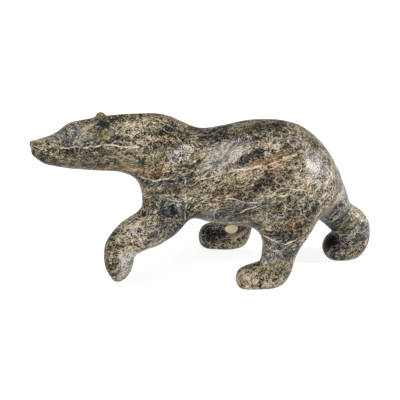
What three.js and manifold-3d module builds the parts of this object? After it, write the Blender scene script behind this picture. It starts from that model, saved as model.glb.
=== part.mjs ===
// A walking bear carved from one block of soapstone: long low neck, deep belly, one forepaw lifted.
// Millimetres, +Z up. The bear faces -X, its left side is -Y, and it stands on three flat soles at
// z = 0. The origin is on the ground under the middle of the carving's bounding box.
import * as THREE from "three";
import { mergeVertices } from "three/addons/utils/BufferGeometryUtils.js";
import Module from "manifold-3d";

// ---- The carved masses -------------------------------------------------------------------------
// Each mass is a chain of oval sections: the centre of the section, then its half width across the
// bear and its half depth in the other direction.
const oval = (x, y, z, wide, deep) => ({ centre: new THREE.Vector3(x, y, z), wide, deep });

const TRUNK = [
  oval(-143.6, -15.5, 125.3, 6.5, 6.2), // nose
  oval(-134, -14.5, 122.3, 10.5, 11.4), // nostrils
  oval(-124, -13.5, 122.3, 13.5, 14.2), // muzzle
  oval(-111, -12, 125.5, 18, 20.1), // brow
  oval(-98, -10.5, 125.5, 21, 21.6), // cheeks
  oval(-84, -9, 125.5, 22, 23.3), // ears
  oval(-70, -7, 125, 22, 24.8), // nape
  oval(-56, -5, 121.5, 23.5, 28), // root of the neck
  oval(-42, -3, 114, 27, 35), // chest
  oval(-28, -1, 105.5, 32.5, 40.5), // shoulders
  oval(-14, 0, 98, 38.5, 39.8), // withers
  oval(0, 0, 92.2, 43, 39.2), // saddle behind the shoulders
  oval(20, 0, 90.9, 47, 42.4), // ribs
  oval(44, 0, 93, 49, 45.2), // belly
  oval(68, 0, 94, 49.5, 44), // loins
  oval(86, 0, 92.5, 47, 41), // rump
  oval(101, 0, 88, 37.5, 35.5), // buttocks
  oval(111, 0, 84.5, 29.5, 27.5), // root of the tail
  oval(118, 0, 82, 20.5, 18.5), // stub of the tail
  oval(122.5, 0, 80, 10, 9), // end of the rump
];

const LIFTED_FORELEG = [
  oval(-28, -22, 86, 16, 23.5), // shoulder
  oval(-31, -30, 70, 15, 20.5), // upper arm
  oval(-43, -36, 59.5, 14, 18), // elbow
  oval(-59.7, -40, 51.9, 13.5, 15.8), // forearm
  oval(-70.3, -42, 41.3, 13.5, 13.4), // wrist
  oval(-71.3, -43, 29, 13, 12.7), // palm
  oval(-69.6, -43, 17.6, 10.2, 9.2), // toes
];

const PLANTED_FORELEG = [
  oval(-8, 24, 78, 18, 22), // shoulder
  oval(8, 34, 56, 16, 19), // upper arm
  oval(25, 43, 36, 15.5, 17), // forearm
  oval(32.5, 47, 20.5, 15.5, 17.8), // wrist
  oval(30.8, 45.8, 9, 16, 14.8), // heel of the paw
  oval(12.5, 46, 8, 15.5, 13), // toes
];

const FORWARD_HIND_LEG = [
  oval(68, -20, 84, 24, 34), // hip
  oval(73.2, -28, 62.5, 20, 27), // thigh
  oval(70, -32, 42, 17, 17), // knee
  oval(67.2, -33, 28, 15.5, 14.7), // shin
  oval(62.4, -33, 11.6, 15.5, 14), // heel
  oval(39.4, -33, 5.8, 14.6, 10), // toes
];

const TRAILING_HIND_LEG = [
  oval(86, 10, 79, 24, 25), // hip
  oval(110.2, 15, 62.6, 19.5, 20.6), // thigh
  oval(125.2, 18, 42.4, 16, 14.8), // knee
  oval(138.9, 19.6, 28.4, 16.3, 16), // hock
  oval(136.2, 19, 13, 17, 16), // heel
  oval(125.6, 19, 9.5, 17, 13.5), // toes
];

const BLUNTNESS = 0.2; // how far the trunk's two ends bulge, as a share of their smaller size
const FLESH_FILLET = 12; // how widely one mass is blended into the next
const SECTIONS_PER_OVAL = 6; // sections carved between two named ovals

// ---- Ears, soles and the palm of the lifted paw ------------------------------------------------
const EAR = { long: 4.5, thick: 5.8, tall: 5.2 }; // half sizes of one round ear
const EAR_ROOTS = [
  { centre: new THREE.Vector3(-79.7, -25, 141), splay: 0.7 }, // left ear
  { centre: new THREE.Vector3(-84.6, -6.4, 147.8), splay: -0.1 }, // right ear
];
const PALM_CENTRE = new THREE.Vector3(-65, -50, 26);
const PALM_NORMAL = new THREE.Vector3(0.62, -0.62, -0.48).normalize();
const PALM_SIZE = new THREE.Vector3(40, 40, 10); // trims the lifted paw and nothing else
const GROUND_SIZE = new THREE.Vector3(400, 400, 40);

// ---- The grid on which the stone's surface is found --------------------------------------------
const BLOCK = { min: new THREE.Vector3(-150, -66, -13), max: new THREE.Vector3(164, 68, 156) };
const CELL = 5.7; // spacing of the grid over the body
const HEAD_CELL = 4; // closer spacing along the head, which is slimmer
const HEAD_END = -60; // where the head's closer spacing stops

// ---- One mass: its distance from a point -------------------------------------------------------
function carveMass({ ovals, upright }) {
  const spine = new THREE.CatmullRomCurve3(ovals.map((o) => o.centre));
  const sizes = new THREE.CatmullRomCurve3(ovals.map((o) => new THREE.Vector3(o.wide, o.deep, 0)));
  const steps = (ovals.length - 1) * SECTIONS_PER_OVAL;
  const sections = [];
  for (let i = 0; i <= steps; i++) {
    sections.push({ centre: spine.getPoint(i / steps), size: sizes.getPoint(i / steps) });
  }
  const pieces = sections.slice(1).map((end, i) => {
    const start = sections[i];
    const along = end.centre.clone().sub(start.centre);
    const facing = upright ? new THREE.Vector3(1, 0, 0) : along.clone().normalize();
    const side = new THREE.Vector3(0, 1, 0).addScaledVector(facing, -facing.y).normalize();
    const normal = facing.clone().cross(side);
    return { start, end, along, facing, side, normal, length: along.dot(facing) };
  });
  const offset = new THREE.Vector3();
  const size = new THREE.Vector3();

  // First-order distance to the oval piece that lies nearest to the point. Upright pieces are
  // closed only at the two ends of their mass; every other piece has round ends of its own.
  return (point) => {
    let nearest = Infinity;
    for (const [i, { start, end, along, facing, side, normal, length }] of pieces.entries()) {
      offset.subVectors(point, start.centre);
      const place = offset.dot(facing) / length;
      if (upright && ((place < 0 && i > 0) || (place > 1 && i < pieces.length - 1))) continue;
      const share = THREE.MathUtils.clamp(place, 0, 1);
      offset.addScaledVector(along, -share);
      size.lerpVectors(start.size, end.size, share);
      const cap = Math.min(size.x, size.y) * (upright ? BLUNTNESS : 1);
      const across = offset.dot(side) / size.x;
      const deep = offset.dot(normal) / size.y;
      const ahead = offset.dot(facing) / cap;
      const reach = Math.hypot(across, deep, ahead);
      const slope = Math.hypot(across / size.x, deep / size.y, ahead / cap);
      const distance = slope > 0 ? (reach * (reach - 1)) / slope : -cap;
      nearest = Math.min(nearest, distance);
    }
    return nearest;
  };
}

// Joins two distances with a rounded fillet where their surfaces meet.
function blend(a, b, fillet) {
  const overlap = Math.max(fillet - Math.abs(a - b), 0) / fillet;
  return Math.min(a, b) - (overlap * overlap * fillet) / 4;
}

// The trunk's sections stand upright; a leg's sections lie square to the leg.
const MASSES = [
  { ovals: TRUNK, upright: true },
  { ovals: LIFTED_FORELEG, upright: false },
  { ovals: PLANTED_FORELEG, upright: false },
  { ovals: FORWARD_HIND_LEG, upright: false },
  { ovals: TRAILING_HIND_LEG, upright: false },
].map(carveMass);

function depthInStone(point) {
  return MASSES.map((mass) => mass(point)).reduce((a, b) => blend(a, b, FLESH_FILLET));
}

// ---- The surface of the stone, as a net of quads stretched over the grid -----------------------
function gridLines(from, to, cellAt) {
  const lines = [from];
  while (lines.at(-1) < to) {
    lines.push(lines.at(-1) + cellAt(lines.at(-1)));
  }
  return lines;
}

function surfaceNet(distanceAt) {
  const even = () => CELL;
  const axes = [
    gridLines(BLOCK.min.x, BLOCK.max.x, (x) => (x < HEAD_END ? HEAD_CELL : CELL)),
    gridLines(BLOCK.min.y, BLOCK.max.y, even),
    gridLines(BLOCK.min.z, BLOCK.max.z, even),
  ];
  const [nx, ny, nz] = axes.map((lines) => lines.length);
  const strides = [1, nx, nx * ny];
  const cornerAt = (i, j, k) => i + j * nx + k * nx * ny;
  const point = new THREE.Vector3();
  const values = new Float32Array(nx * ny * nz);
  for (let k = 0; k < nz; k++) {
    for (let j = 0; j < ny; j++) {
      for (let i = 0; i < nx; i++) {
        values[cornerAt(i, j, k)] = distanceAt(point.set(axes[0][i], axes[1][j], axes[2][k]));
      }
    }
  }

  clearSaddles(values, [nx, ny, nz], strides);

  const positions = [];
  const vertexOf = new Map();
  for (let k = 0; k < nz - 1; k++) {
    for (let j = 0; j < ny - 1; j++) {
      for (let i = 0; i < nx - 1; i++) {
        const crossing = middleOfCrossings(axes, values, strides, [i, j, k]);
        if (crossing) {
          vertexOf.set(cornerAt(i, j, k), positions.length / 3);
          settle(crossing, distanceAt);
          positions.push(crossing.x, crossing.y, crossing.z);
        }
      }
    }
  }

  // One quad round every grid edge that passes through the surface.
  const triangles = [];
  for (let k = 1; k < nz - 1; k++) {
    for (let j = 1; j < ny - 1; j++) {
      for (let i = 1; i < nx - 1; i++) {
        const here = cornerAt(i, j, k);
        for (let axis = 0; axis < 3; axis++) {
          const inside = values[here] < 0;
          if (inside === values[here + strides[axis]] < 0) continue;
          const u = strides[(axis + 1) % 3];
          const v = strides[(axis + 2) % 3];
          const ring = [here - u - v, here - v, here, here - u].map((c) => vertexOf.get(c));
          const [a, b, c, d] = inside ? ring : ring.toReversed();
          triangles.push(a, b, c, a, c, d);
        }
      }
    }
  }
  const geometry = new THREE.BufferGeometry();
  geometry.setAttribute("position", new THREE.Float32BufferAttribute(positions, 3));
  geometry.setIndex(triangles);
  return geometry;
}

// Where the four corners of a grid face lie in and out of the stone by turns, the net would meet
// itself along one edge, so the corner nearest the surface is moved to its other side.
function clearSaddles(values, counts, strides) {
  let found = true;
  while (found) {
    found = false;
    for (let here = 0; here < values.length; here++) {
      for (const [a, b] of [
        [0, 1],
        [1, 2],
        [2, 0],
      ]) {
        const [u, v] = [strides[a], strides[b]];
        const atEnd = [a, b].some(
          (axis) => Math.floor(here / strides[axis]) % counts[axis] === counts[axis] - 1,
        );
        if (atEnd) continue;
        const ring = [here, here + u, here + u + v, here + v];
        const inside = ring.map((corner) => values[corner] < 0);
        const byTurns =
          inside[0] === inside[2] && inside[1] === inside[3] && inside[0] !== inside[1];
        if (!byTurns) continue;
        const weakest = ring.reduce((p, q) => (Math.abs(values[q]) < Math.abs(values[p]) ? q : p));
        values[weakest] = -values[weakest];
        found = true;
      }
    }
  }
}

// The middle of the points where a cell's twelve edges pass through the surface, or null.
function middleOfCrossings(axes, values, strides, [i, j, k]) {
  const base = i + j * strides[1] + k * strides[2];
  const corner = (bits) => [bits & 1, (bits >> 1) & 1, (bits >> 2) & 1];
  const valueAt = (bits) => {
    const [a, b, c] = corner(bits);
    return values[base + a + b * strides[1] + c * strides[2]];
  };
  const placeOf = (bits) => {
    const [a, b, c] = corner(bits);
    return new THREE.Vector3(axes[0][i + a], axes[1][j + b], axes[2][k + c]);
  };
  const sum = new THREE.Vector3();
  let count = 0;
  for (let bits = 0; bits < 8; bits++) {
    for (const step of [1, 2, 4]) {
      if (bits & step) continue;
      const [start, end] = [valueAt(bits), valueAt(bits | step)];
      if (start < 0 === end < 0) continue;
      sum.add(placeOf(bits).lerp(placeOf(bits | step), start / (start - end)));
      count += 1;
    }
  }
  return count ? sum.divideScalar(count) : null;
}

// Moves a point along the slope of the distance until it lies on the surface.
function settle(point, distanceAt) {
  const probe = 0.2;
  const shifted = new THREE.Vector3();
  for (let pass = 0; pass < 2; pass++) {
    const here = distanceAt(point);
    const slope = new THREE.Vector3(
      distanceAt(shifted.copy(point).setX(point.x + probe)) - here,
      distanceAt(shifted.copy(point).setY(point.y + probe)) - here,
      distanceAt(shifted.copy(point).setZ(point.z + probe)) - here,
    ).divideScalar(probe);
    const step = THREE.MathUtils.clamp(here / Math.max(slope.lengthSq(), 0.2), -1, 1);
    point.addScaledVector(slope, -step);
  }
}

// ---- Solids: joining the ears, cutting the soles and the palm ----------------------------------
const wasm = await Module();
wasm.setup();

function toSolid(geometry) {
  const bare = geometry.clone();
  bare.deleteAttribute("normal");
  bare.deleteAttribute("uv");
  const merged = mergeVertices(bare, 1e-3);
  return new wasm.Manifold(
    new wasm.Mesh({
      numProp: 3,
      vertProperties: new Float32Array(merged.getAttribute("position").array),
      triVerts: new Uint32Array(merged.getIndex().array),
    }),
  );
}

function toGeometry(solid) {
  const { vertProperties, triVerts } = solid.getMesh();
  const geometry = new THREE.BufferGeometry();
  geometry.setAttribute("position", new THREE.BufferAttribute(vertProperties, 3));
  geometry.setIndex(new THREE.BufferAttribute(triVerts, 1));
  geometry.computeVertexNormals();
  return geometry;
}

// An ear is one egg, leaned out from upright by its splay and half sunk in the head.
function makeEar({ centre, splay }) {
  const ear = new THREE.SphereGeometry(1, 16, 10);
  ear.rotateX(Math.PI / 2);
  ear.scale(EAR.long, EAR.thick, EAR.tall);
  ear.rotateX(splay);
  ear.translate(centre.x, centre.y, centre.z);
  return toSolid(ear);
}

// A block whose near face lies on the given point, square to the given direction.
function makeCutter(size, facePoint, direction) {
  const block = new THREE.BoxGeometry(size.x, size.y, size.z);
  block.translate(0, 0, size.z / 2);
  block.applyQuaternion(
    new THREE.Quaternion().setFromUnitVectors(new THREE.Vector3(0, 0, 1), direction),
  );
  block.translate(facePoint.x, facePoint.y, facePoint.z);
  return toSolid(block);
}

function carveBear() {
  const ground = makeCutter(GROUND_SIZE, new THREE.Vector3(), new THREE.Vector3(0, 0, -1));
  const palm = makeCutter(PALM_SIZE, PALM_CENTRE, PALM_NORMAL);
  return EAR_ROOTS.map(makeEar)
    .reduce((stone, ear) => stone.add(ear), toSolid(surfaceNet(depthInStone)))
    .subtract(ground)
    .subtract(palm);
}

// ---- The object --------------------------------------------------------------------------------
const soapstone = new THREE.MeshStandardMaterial({
  color: 0x6b6250,
  roughness: 0.35,
  metalness: 0,
});

const stone = toGeometry(carveBear());
stone.computeBoundingBox();
const middle = stone.boundingBox.getCenter(new THREE.Vector3());
stone.translate(-middle.x, -middle.y, 0);

const bear = new THREE.Mesh(stone, soapstone);
bear.name = "bear";

const carving = new THREE.Group();
carving.add(bear);

export default carving;
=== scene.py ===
"""A walking bear carved from one block of soapstone, in a plain pale studio."""

import math

import bpy
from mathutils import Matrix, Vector


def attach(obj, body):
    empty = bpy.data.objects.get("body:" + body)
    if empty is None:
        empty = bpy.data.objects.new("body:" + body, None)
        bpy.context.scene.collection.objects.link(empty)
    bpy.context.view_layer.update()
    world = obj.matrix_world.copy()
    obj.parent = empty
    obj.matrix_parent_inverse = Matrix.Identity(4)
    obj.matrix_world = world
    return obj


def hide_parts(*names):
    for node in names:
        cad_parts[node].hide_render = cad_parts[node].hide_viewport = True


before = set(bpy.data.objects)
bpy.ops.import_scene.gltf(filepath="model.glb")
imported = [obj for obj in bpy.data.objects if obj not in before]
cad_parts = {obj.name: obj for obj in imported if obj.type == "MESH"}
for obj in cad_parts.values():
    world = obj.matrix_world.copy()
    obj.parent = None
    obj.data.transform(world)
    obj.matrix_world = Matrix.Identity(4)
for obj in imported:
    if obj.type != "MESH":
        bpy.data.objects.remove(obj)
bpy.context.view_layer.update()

# ---- Studio ------------------------------------------------------------------------------------
# A pale seamless floor that carries a soft glow of its own, as a light table does, under three
# soft boxes. The camera stands off the bear's left side and looks down on it a little.
MM = 0.001
CAMERA_DISTANCE = 1200 * MM
CAMERA_TURN = math.radians(-2)
CAMERA_RISE = math.radians(25)
SENSOR_WIDTH = 36
FIELD_WIDTH = 352 * MM  # how much of the scene the picture spans at the bear
AIM = Vector((-5.27, -3.23, 66.9)) * MM

scene = bpy.context.scene
scene.view_settings.view_transform = "Standard"

camera_data = bpy.data.cameras.new("camera")
camera_data.sensor_width = SENSOR_WIDTH
camera_data.lens = SENSOR_WIDTH * CAMERA_DISTANCE / FIELD_WIDTH
camera = bpy.data.objects.new("camera", camera_data)
aside = math.cos(CAMERA_RISE) * Vector((math.sin(CAMERA_TURN), -math.cos(CAMERA_TURN), 0))
back = aside + Vector((0, 0, math.sin(CAMERA_RISE)))
camera.location = AIM + back * CAMERA_DISTANCE
camera.rotation_euler = (-back).to_track_quat("-Z", "Y").to_euler()
scene.collection.objects.link(camera)
scene.camera = camera


def add_soft_box(name, place, aim, size, watts, colour):
    """A soft box at a place in metres, turned to face the point that it lights."""
    lamp = bpy.data.lights.new(name, "AREA")
    lamp.shape = "RECTANGLE"
    lamp.size, lamp.size_y = size
    lamp.energy = watts
    lamp.color = colour
    box = bpy.data.objects.new(name, lamp)
    box.location = place
    box.rotation_euler = (Vector(aim) - Vector(place)).to_track_quat("-Z", "Y").to_euler()
    scene.collection.objects.link(box)


add_soft_box("soft_box_left", (-0.7, -1.1, 1.1), (0, 0, 0.08), (1.5, 1.2), 23, (1, 0.99, 0.96))
add_soft_box("soft_box_right", (1.5, -0.05, 0.72), (0.08, 0, 0.1), (0.22, 0.65), 27, (1, 1, 1))
add_soft_box("soft_box_top", (0.1, 0.3, 1.5), (0, 0, 0.08), (1.2, 0.9), 5, (1, 1, 1))

WORLD_GLOW = 0.15
world = bpy.data.worlds.new("studio")
world.use_nodes = True
world.node_tree.nodes["Background"].inputs["Color"].default_value = (1, 1, 1, 1)
world.node_tree.nodes["Background"].inputs["Strength"].default_value = WORLD_GLOW
scene.world = world

FLOOR_SIZE = 12
FLOOR_GREY = 0.4
FLOOR_GLOW = 0.82
bpy.ops.mesh.primitive_plane_add(size=FLOOR_SIZE, location=(0, 0, 0))
floor = bpy.context.object
floor.name = "floor"
floor_paint = bpy.data.materials.new("floor_white")
floor_paint.use_nodes = True
floor_shader = floor_paint.node_tree.nodes["Principled BSDF"]
floor_shader.inputs["Base Color"].default_value = (FLOOR_GREY, FLOOR_GREY, FLOOR_GREY, 1)
floor_shader.inputs["Roughness"].default_value = 0.9
floor_shader.inputs["Emission Color"].default_value = (1, 1, 1, 1)
floor_shader.inputs["Emission Strength"].default_value = FLOOR_GLOW
floor.data.materials.append(floor_paint)

# ---- The carved body ---------------------------------------------------------------------------
# One block of soapstone, shaped with rasps and rubbed down until no tool mark is left. The
# masses come from the frame; here their facets are rubbed smooth. That slims the nose and the
# paws, so the surface is let out a little afterwards.
COARSE_VOXEL = 1.5 * MM
LET_OUT = 0.35 * MM
bear = bpy.data.objects.new("carved_bear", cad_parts["bear"].data.copy())
scene.collection.objects.link(bear)
bear.data.materials.clear()


def select_only(piece):
    bpy.ops.object.select_all(action="DESELECT")
    piece.select_set(True)
    bpy.context.view_layer.objects.active = piece


def finish_with(piece, kind, settings):
    """Adds a modifier to a piece and applies it."""
    select_only(piece)
    modifier = piece.modifiers.new(kind.lower(), kind)
    for name, value in settings.items():
        setattr(modifier, name, value)
    bpy.ops.object.modifier_apply(modifier=modifier.name)


select_only(bear)
bpy.ops.object.mode_set(mode="EDIT")
bpy.ops.mesh.select_all(action="SELECT")
bpy.ops.mesh.remove_doubles(threshold=0.01 * MM)
bpy.ops.mesh.tris_convert_to_quads()
bpy.ops.object.mode_set(mode="OBJECT")
finish_with(bear, "SUBSURF", {"levels": 2, "render_levels": 2})
finish_with(bear, "REMESH", {"mode": "VOXEL", "voxel_size": COARSE_VOXEL})
finish_with(bear, "SMOOTH", {"factor": 0.5, "iterations": 5})
finish_with(bear, "DISPLACE", {"strength": LET_OUT, "mid_level": 0})

# ---- Ears --------------------------------------------------------------------------------------
# Two small round ears left standing on the head, cut from the same block. Each is dished on its
# outer side with a round burr, and the right ear stands higher than the left.
def add_egg(name, centre, half_sizes, angles):
    """A round form at a place in millimetres, turned by its angles in degrees."""
    bpy.ops.mesh.primitive_uv_sphere_add(segments=48, ring_count=24, radius=MM)
    egg = bpy.context.object
    egg.name = name
    egg.scale = half_sizes
    egg.rotation_euler = [math.radians(angle) for angle in angles]
    egg.location = Vector(centre) * MM
    bpy.ops.object.transform_apply(location=True, rotation=True, scale=True)
    return egg


def cut_away(piece, cutter):
    """Cuts one form out of another and throws the cutter away."""
    finish_with(piece, "BOOLEAN", {"operation": "DIFFERENCE", "solver": "EXACT", "object": cutter})
    bpy.data.objects.remove(cutter, do_unlink=True)


def join_to(piece, added):
    """Puts the pieces of one carving in one mesh; their overlap goes when it is remeshed."""
    select_only(piece)
    for part in added:
        part.select_set(True)
    bpy.ops.object.join()


left_ear = add_egg("left_ear", (-84.9, -29.2, 140.9), (4.4, 3.4, 6.8), (-40, 0, 0))
cut_away(left_ear, add_egg("left_dish", (-84.9, -31.7, 143), (2.9, 1.9, 4.9), (-40, 0, 0)))
right_ear = add_egg("right_ear", (-89.8, -10.4, 149.2), (4.6, 4.2, 4.7), (10, 0, 0))
cut_away(right_ear, add_egg("right_dish", (-89.8, -6, 150.4), (2.8, 1.9, 2.8), (10, 0, 0)))
join_to(bear, [left_ear, right_ear])

# ---- Palm, nose and eyes -----------------------------------------------------------------------
# The last cuts: a flat palm on the lifted paw, a nick behind the nose pad, two shallow eyes, and
# the soles, which are ground flat so that the bear stands.
FINE_VOXEL = 1.2 * MM
nose_pad = add_egg("nose_pad", (-147.6, -18.8, 129.1), (3, 4.4, 3), (0, 0, 0))
join_to(bear, [nose_pad])
finish_with(bear, "REMESH", {"mode": "VOXEL", "voxel_size": FINE_VOXEL})

PALM_CENTRE = Vector((-70.3, -53.3, 26)) * MM
PALM_NORMAL = Vector((0.62, -0.62, -0.48)).normalized()
PALM_CUTTER = 40 * MM
bpy.ops.mesh.primitive_cube_add(size=PALM_CUTTER)
palm_cutter = bpy.context.object
palm_cutter.rotation_euler = PALM_NORMAL.to_track_quat("Z", "Y").to_euler()
palm_cutter.location = PALM_CENTRE + PALM_NORMAL * PALM_CUTTER / 2
bpy.ops.object.transform_apply(location=True, rotation=True, scale=True)
cut_away(bear, palm_cutter)

cut_away(bear, add_egg("nose_nick", (-144.9, -17.5, 133.2), (1.1, 8, 1.3), (0, 0, 0)))
cut_away(bear, add_egg("left_eye", (-121.6, -28.9, 135.4), (1.5, 1.3, 1.1), (0, 0, 0)))
cut_away(bear, add_egg("right_eye", (-121.9, -8.6, 140), (1.5, 1.3, 1.1), (0, 0, 0)))
finish_with(bear, "REMESH", {"mode": "VOXEL", "voxel_size": FINE_VOXEL})
finish_with(bear, "SMOOTH", {"factor": 0.5, "iterations": 2})
for vertex in bear.data.vertices:
    vertex.co.z = max(vertex.co.z, 0)
bpy.ops.object.shade_smooth()

# ---- The stone ---------------------------------------------------------------------------------
# Mottled soapstone, rubbed to a low polish and waxed. An olive ground passes into grey and rust;
# black and cream grains lie all through it, in clots along the bedding, and pale veins cross it.
class Socket:
    """A shader output that takes part in sums; each sum adds its Math node."""

    def __init__(self, tree, output):
        self.tree = tree
        self.output = output

    def node(self, kind, settings, sockets, output=0):
        """Adds any node: settings first, then each socket's value or link."""
        made = self.tree.nodes.new(kind)
        for name, value in settings.items():
            setattr(made, name, value)
        for name, value in sockets.items():
            if isinstance(value, Socket):
                self.tree.links.new(value.output, made.inputs[name])
            else:
                made.inputs[name].default_value = value
        return Socket(self.tree, made.outputs[output])

    def math(self, operation, *values, clamp=False):
        settings = {"operation": operation, "use_clamp": clamp}
        return self.node("ShaderNodeMath", settings, dict(enumerate(values)))

    def __add__(self, other):
        return self.math("ADD", self, other)

    def __radd__(self, other):
        return self.math("ADD", other, self)

    def __sub__(self, other):
        return self.math("SUBTRACT", self, other)

    def __rsub__(self, other):
        return self.math("SUBTRACT", other, self)

    def __mul__(self, other):
        return self.math("MULTIPLY", self, other)

    def __rmul__(self, other):
        return self.math("MULTIPLY", other, self)


stone = bpy.data.materials.new("soapstone")
stone.use_nodes = True
tree = stone.node_tree
shader = tree.nodes["Principled BSDF"]
start = Socket(tree, tree.nodes.new("ShaderNodeTexCoord").outputs["Object"])


def vector(operation, a, b):
    """A sum on vectors; a scale takes a number as its second value."""
    second = "Scale" if operation == "SCALE" else 1
    return start.node("ShaderNodeVectorMath", {"operation": operation}, {0: a, second: b})


def noise(where, scale, detail=2.0, roughness=0.5, output="Fac"):
    sockets = {"Vector": where, "Scale": scale, "Detail": detail, "Roughness": roughness}
    return start.node("ShaderNodeTexNoise", {}, sockets, output)


def grade(value, low, high, to_low=0.0, to_high=1.0):
    """Runs smoothly from one value to another as its input goes from low to high."""
    limits = {"From Min": low, "From Max": high, "To Min": to_low, "To Max": to_high}
    settings = {"interpolation_type": "SMOOTHSTEP"}
    return start.node("ShaderNodeMapRange", settings, {"Value": value, **limits})


def blend(under, over, mask):
    """Lays one colour over another through a mask."""
    return start.node("ShaderNodeMix", {"data_type": "RGBA"}, {0: mask, 6: under, 7: over}, 2)


def shaken(where, scale, reach, detail=2.0):
    """Moves a place about by up to roughly half the reach, so that edges run unevenly."""
    wander = vector("SUBTRACT", noise(where, scale, detail, output="Color"), (0.5, 0.5, 0.5))
    return vector("ADD", where, vector("SCALE", wander, reach))


place = vector("SCALE", start, 1000)  # millimetres

# The bedding lies level through the head and climbs towards the rump behind the neck.
BEND = -50
CLIMB = 0.4


def climb_at(x):
    return CLIMB * max(x - BEND, 0)


def bedded(where):
    """Lays a place level with the bedding: its height then tells which bed it is in."""
    x, y, z = (start.node("ShaderNodeSeparateXYZ", {}, {0: where}, axis) for axis in range(3))
    behind = x - BEND
    level = z - behind.math("MAXIMUM", behind, 0) * CLIMB
    return start.node("ShaderNodeCombineXYZ", {}, {0: x, 1: y, 2: level})


flow = shaken(place, 0.02, 26)
bed = bedded(flow)
ragged = shaken(bedded(place), 0.09, 16, 3)


def squeezed(where, *shares):
    """Scales a place axis by axis; a pattern in it is long where its share is small."""
    return vector("MULTIPLY", where, shares)


def filaments(where, scale, width):
    """Fine wandering lines, along which a noise crosses its middle."""
    swell = noise(where, scale, 3, 0.62) - 0.5
    return grade(swell.math("ABSOLUTE", swell), width, 0)


layers = squeezed(bed, 0.45, 0.8, 1.5)
grain = noise(squeezed(shaken(bed, 0.3, 2.5), 0.62, 0.8, 1.25), 1.0, 2, 0.75)
clots = noise(squeezed(bed, 0.75, 0.9, 1.2), 0.28, 2, 0.65)
flecks = noise(squeezed(bed, 0.7, 0.9, 1.2), 0.42, 2, 0.7)
bands = noise(layers, 0.055, 3, 0.6)
lines = noise(squeezed(bed, 0.22, 0.6, 1.7), 0.75, 2, 0.65)
tint = noise(shaken(layers, 0.05, 10), 0.035, 2, 0.55)
seams = filaments(squeezed(bed, 0.4, 0.8, 1.3), 0.16, 0.028)

# Clouds that lie in the block, with a few patches of painted shade, painted highlight and painted
# reflection, marked as such: where each lies and how far it reaches in millimetres; how far it
# turns from olive to rust, or to slate below 0; how much paler it is; and how calm its grain is.
CLOUDS_AND_PAINTED_LIGHT = (
    ((13, -34, 123), (24, 20, 9), -1.6, 0.2, 0.65),  # mauve cloud under the saddle, partly a painted reflection: paler and calmer
    ((-24, -34, 123), (9, 14, 7), -1.2, 0.08, 0.1),  # blue-white patch on the shoulder
    ((-5, -38, 116), (9, 14, 5), 1.6, 0.02, 0.2),  # rust behind the shoulder
    ((50, -42, 120.5), (26, 14, 5), 1.5, 0.05, 0.1),  # rust along the loins
    ((36, -50, 101), (34, 16, 11), 0.42, 0.03, 0.0),  # ochre flank
    ((-44, -34, 111), (14, 14, 7), 0.85, -0.02, 0.3),  # brown chest
    ((-50, -37, 87), (9, 12, 8), 0.85, 0.03, 0.5),  # tan fold of the elbow
    ((-47, -50, 71), (12, 12, 7), 0.8, -0.02, 0.0),  # brown top of the forearm
    ((-42, -22, 128), (22, 24, 14), 0.1, -0.08, 0.0),  # dim neck
    ((5, -2, 132), (18, 14, 7), -0.6, -0.2, 0.0),  # black smear over the saddle
    ((-46, -35, 98), (14, 12, 5), -1, -0.11, 0.1),  # black band across the chest
    ((34, -38, 121), (16, 14, 3), -0.5, -0.2, 0.0),  # black streak under the loins
    ((45, -51, 104), (8, 10, 3.5), -0.8, -0.22, 0.0),  # black clot on the flank
    ((-31, -45, 78), (14, 14, 9), -1.3, -0.09, 0.0),  # slate at the elbow
    ((14, -46, 73), (34, 18, 7), -0.9, -0.08, 0.5),  # grey belly
    ((60, -52, 50), (14, 14, 9), -0.9, -0.04, 0.2),  # slate knee
    ((92, -36, 112), (10, 12, 16), -0.5, 0.08, 0.3),  # pale rump: a painted highlight, paler and bluer, with calmer grain
    ((119, -3, 60), (18, 20, 16), -1.4, 0.07, 0.1),  # grey trailing leg
    ((106, 8, 20), (13, 18, 16), -0.5, -0.2, 0.1),  # its toes, darker and greyer: painted shade where they lie under the body
    ((10, 32, 16), (20, 16, 16), -0.6, -0.08, 0.0),  # planted forepaw, darker: its dark stone, and painted shade under the belly
    ((-95, -34, 116), (38, 18, 8), -0.5, 0.04, 0.7),  # smooth dark jaw
    ((-128, -29, 118), (16, 12, 6), 0.8, 0.04, 0.3),  # ochre chin
    ((-70, -56, 31), (10, 12, 15), -1.6, 0.27, 0.2),  # blue-white palm
    ((-90, -28, 107), (36, 20, 6), 1.0, 0.03, 0.8),  # brown throat
    ((-90, -28, 139), (9, 10, 4), 0.9, 0.0, 0.3),  # brown patch before the ear
    ((126, 8, 15), (24, 22, 16), -0.5, -0.06, 0.2),  # dim trailing foot
    ((92, -34, 74), (14, 16, 8), -0.5, -0.12, 0.0),  # dark back of the thigh
    ((-58, -53, 61), (15, 12, 11), -0.1, 0.03, 0.0),  # pale speckled forearm
    ((-87, -20, 146), (7, 6, 2.4), -0.7, -0.2, 0.2),  # black patch between the ears
    ((76, -52, 72), (22, 14, 16), -0.1, -0.08, 0.0),  # dark thigh
    ((70, -52, 64), (8, 10, 5), 1.4, 0.03, 0.0),  # rust on the thigh
    ((-110, -24, 136), (30, 14, 7), -0.8, 0.09, 0.4),  # grey brow
    ((46, -44, 12), (26, 18, 12), 0.4, 0.02, 0.0),  # warm hind foot
    ((52, -18, 136), (22, 22, 10), 0.2, -0.04, 0.0),  # olive rump
)


def length(offset):
    return start.node("ShaderNodeVectorMath", {"operation": "LENGTH"}, {0: offset}, "Value")


def lies_in(where, centre, half_sizes, soft=0.5):
    """A mask that fades out across the edge of a round form."""
    offset = vector("SUBTRACT", where, centre)
    offset = vector("MULTIPLY", offset, [1 / half for half in half_sizes])
    return grade(length(offset), 1 + soft, 1 - soft)


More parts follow.
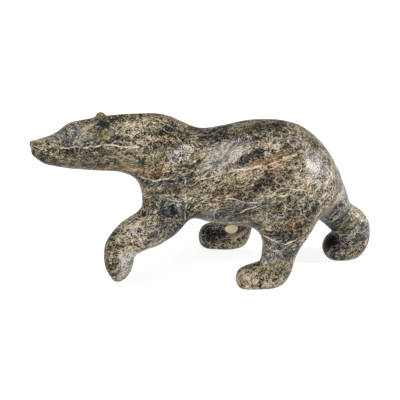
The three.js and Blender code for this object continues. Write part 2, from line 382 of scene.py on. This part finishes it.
shade = 0.0
hue = 0.0
calm = 0.0
for (cx, cy, cz), half_sizes, to_rust, paler, calmer in CLOUDS_AND_PAINTED_LIGHT:
    cloud_and_painted_light = lies_in(ragged, (cx, cy, cz - climb_at(cx)), half_sizes)
    shade = cloud_and_painted_light * paler + shade
    hue = cloud_and_painted_light * to_rust + hue
    calm = cloud_and_painted_light * calmer + calm

# The tone runs from black at about 0.3 to cream at about 0.9.
MIDDLE_TONE = 0.51
SEAM_DEPTH = 0.22
FLECK_DEPTH = 0.5
stir = 1 - calm.math("MINIMUM", calm, 1) * 0.75
stir = stir * grade(noise(layers, 0.08, 2), 0.38, 0.6, 0.6, 1.15)
black = grade(flecks + shade * 0.4, 0.46, 0.41) * grade(bands + shade * 0.7, 0.56, 0.44)
tone = shade + MIDDLE_TONE + (bands - 0.5) * 0.8 + (lines - 0.5) * (calm * 0.5 + 0.3)
tone = tone + ((grain - 0.5) * 2.3 + (clots - 0.5) * 1.2) * stir
tone = tone - seams * SEAM_DEPTH - black * FLECK_DEPTH
hue = hue - 0.05 + (tint - 0.5) * 4.4 + (lines - 0.5) * 0.8


def family(stops):
    """Colours of one family of stone, from its darkest grain to its palest."""
    ramp = start.node("ShaderNodeValToRGB", {}, {"Fac": tone})
    row = ramp.output.node.color_ramp.elements
    while len(row) < len(stops):
        row.new(0.5)
    for element, (position, colour) in zip(row, stops):
        element.position = position
        element.color = (*colour, 1)
    return ramp


olive = family(
    (
        (0.29, (0.005, 0.006, 0.005)),
        (0.40, (0.034, 0.034, 0.023)),
        (0.52, (0.090, 0.080, 0.042)),
        (0.66, (0.216, 0.184, 0.098)),
        (0.86, (0.580, 0.500, 0.350)),
    )
)
slate = family(
    (
        (0.29, (0.005, 0.006, 0.006)),
        (0.40, (0.033, 0.035, 0.034)),
        (0.52, (0.088, 0.087, 0.079)),
        (0.66, (0.206, 0.193, 0.175)),
        (0.86, (0.540, 0.500, 0.450)),
    )
)
rust = family(
    (
        (0.28, (0.010, 0.006, 0.005)),
        (0.40, (0.052, 0.032, 0.021)),
        (0.52, (0.145, 0.083, 0.042)),
        (0.66, (0.310, 0.192, 0.098)),
        (0.86, (0.600, 0.460, 0.300)),
    )
)
colour = blend(olive, slate, grade(hue, -0.1, -0.8))
colour = blend(colour, rust, grade(hue, 0.25, 1.0))

# Cream curds: the thin rims of crystals, a few millimetres across, in drifts along the bedding,
# and pale wisps between them.
PINK = (0.62, 0.50, 0.39, 1)


def rims(where, scale, width):
    """The borders between the cells of a shattered stone."""
    settings = {"feature": "DISTANCE_TO_EDGE"}
    edge = start.node("ShaderNodeTexVoronoi", settings, {"Vector": where, "Scale": scale}, "Distance")
    return grade(edge, width * scale, 0)


DRIFTS = (
    ((70, -46, 94), (44, 24, 22)),  # lower flank
    ((102, -30, 92), (16, 22, 22)),  # back of the rump
    ((-60, -50, 60), (22, 20, 16)),  # lifted forearm
    ((46, -46, 14), (30, 20, 18)),  # forward hind foot
    ((16, 30, 14), (26, 16, 16)),  # planted forepaw
)
drifts = grade(noise(layers, 0.05, 2), 0.5, 0.64)
for (cx, cy, cz), half_sizes in DRIFTS:
    drifts = drifts + lies_in(ragged, (cx, cy, cz - climb_at(cx)), half_sizes)
drifts = drifts.math("MINIMUM", drifts, 1) * stir * grade(noise(bed, 0.12, 1), 0.36, 0.56)
curds = rims(shaken(place, 0.32, 6.5, 3), 0.2, 0.42) * drifts
colour = blend(colour, PINK, curds * 0.85)
wisps = filaments(squeezed(bed, 0.5, 0.8, 1.2), 0.2, 0.016) * grade(noise(layers, 0.09, 2), 0.44, 0.58)
colour = blend(colour, PINK, wisps * 0.55)

# Veins: healed cracks filled with cream talc. Most are left to chance; the long ones are placed.
CREAM = (0.70, 0.63, 0.51, 1)
chance = rims(shaken(flow, 0.06, 16), 0.036, 0.5) * grade(noise(flow, 0.03), 0.42, 0.55)
VEINS = (
    ((-124, -30, 130), (-104, -33, 131), (-86, -33, 132), (-57, -30, 130)),  # along the cheek
    ((-96, -33, 136), (-102, -33, 130)),
    ((-40, -10, 147), (-27, -18, 138), (-19, -28, 128)),  # across the neck
    ((-20, -30, 123), (-20, -40, 104), (-18, -44, 84), (-20, -44, 68)),  # down the shoulder
    ((-57, -28, 101), (-45, -36, 100), (-32, -38, 105), (-11, -36, 118)),  # round the chest
    ((-15, -43, 99), (10, -43, 111), (31, -46, 114), (52, -45, 118), (69, -40, 123), (80, -32, 125)),
    ((-13, -40, 75), (-7, -44, 84), (20, -51, 89), (44, -52, 87), (64, -52, 101), (83, -49, 96)),
    ((15, -44, 69), (37, -51, 82), (65, -53, 94), (91, -43, 101)),  # under the flank
    ((69, 5, 136), (71, -15, 135), (68, -28, 131)),  # over the loins
    ((108, -13, 106), (106, -27, 100), (100, -37, 93)),  # round the rump
    ((47, -44, 52), (62, -52, 47), (76, -49, 49), (85, -43, 56)),  # over the knee
)
SLANT = 0.3  # a vein is a sheet that runs through the bear, so its course counts less in Y


def slanted(point):
    return Vector((point[0], point[1] * SLANT, point[2]))


traced = vector("MULTIPLY", shaken(shaken(place, 0.07, 7), 0.5, 1.6), (1, SLANT, 1))
nearest = None
for points in VEINS:
    for a, b in zip(points, points[1:]):
        run = slanted(b) - slanted(a)
        offset = vector("SUBTRACT", traced, slanted(a))
        settings = {"operation": "DOT_PRODUCT"}
        along = start.node("ShaderNodeVectorMath", settings, {0: offset, 1: run}, "Value")
        share = along.math("MULTIPLY", along, 1 / run.length_squared, clamp=True)
        gap = length(vector("SUBTRACT", offset, vector("SCALE", run, share)))
        nearest = gap if nearest is None else nearest.math("MINIMUM", nearest, gap)
thickness = grade(noise(place, 0.15), 0.35, 0.65, 0.05, 0.38)
placed = grade(nearest - thickness, 0.5, -0.3)
colour = blend(colour, PINK, chance * 0.5)
colour = blend(colour, CREAM, placed * 0.95)

# Both ears are olive-yellow burrs, ringed with painted shade where they meet the head.
PAINTED_EAR_SHADE = (0.04, 0.038, 0.03, 1)
BURRS = (((-84.9, -29.5, 141), (4, 5, 6.2)), ((-89.8, -10.4, 149.4), (5, 5, 4.9)))
burr = family(
    (
        (0.24, (0.075, 0.060, 0.028)),
        (0.52, (0.250, 0.200, 0.095)),
        (0.80, (0.500, 0.420, 0.250)),
    )
)
for root, half_sizes in BURRS:
    # A dark ring round each ear's root: painted shade.
    painted_ear_shade = lies_in(place, root, [1.45 * half for half in half_sizes], 0.15)
    colour = blend(colour, PAINTED_EAR_SHADE, painted_ear_shade * 0.4)
    colour = blend(colour, burr, lies_in(place, root, half_sizes, 0.12))

# One smooth cream patch on the inner side of the planted forepaw.
CREAM_PATCH = (0.72, 0.59, 0.36, 1)
cream_patch = lies_in(place, (24.5, 28, 22.8), (6, 9, 4.6), 0.05)
colour = blend(colour, CREAM_PATCH, cream_patch)

tree.links.new(colour.output, shader.inputs["Base Color"])

# The grain takes the polish unevenly, and the rump carries most of the wax.
polish = grade(grain, 0.35, 0.65, 0.36, 0.46)
tree.links.new(polish.output, shader.inputs["Roughness"])
shader.inputs["Specular IOR Level"].default_value = 0.12
wax = lies_in(place, (88, -30, 114), (34, 34, 26)) * 0.35 + 0.05
tree.links.new(wax.output, shader.inputs["Coat Weight"])
shader.inputs["Coat Roughness"].default_value = 0.3
pits = start.node("ShaderNodeBump", {}, {"Strength": 0.15, "Distance": 0.0004, "Height": clots + grain})
tree.links.new(pits.output, shader.inputs["Normal"])

bear.data.materials.append(stone)
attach(bear, "root")
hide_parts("bear")
